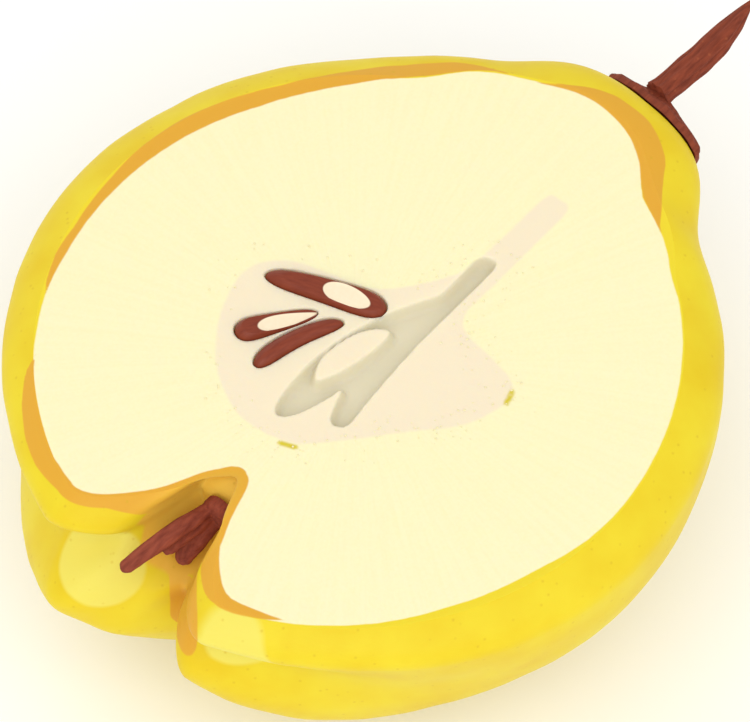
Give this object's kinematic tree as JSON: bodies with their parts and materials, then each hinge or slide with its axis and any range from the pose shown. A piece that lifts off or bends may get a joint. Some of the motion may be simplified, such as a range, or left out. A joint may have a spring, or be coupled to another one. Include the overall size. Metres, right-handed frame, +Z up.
{
  "type": "quince slice",
  "caption": "Ripe yellow quince half, cut lengthwise, lying on its rounded side with the cut face, core, pips, dried calyx and woody stem showing.",
  "frame": {"origin": "centre of the small flat spot under the rounded side, on which the half rests", "axes": "+X along the core axis towards the stem, +Z up, square to the cut face"},
  "size_m": [0.1204, 0.0908, 0.0441],
  "materials": {
    "skin_and_flesh": "soft satin, waxy yellow skin and moist cream flesh",
    "bark": "rough dry bark",
    "sepal": "dry papery leaf",
    "pip": "smooth satin seed coat"
  },
  "bodies": {
    "root": {"quince_half": "skin_and_flesh", "stem": "bark", "calyx": "sepal", "seed_1": "pip", "seed_2": "pip", "seed_3": "pip"}
  },
  "joints": []
}
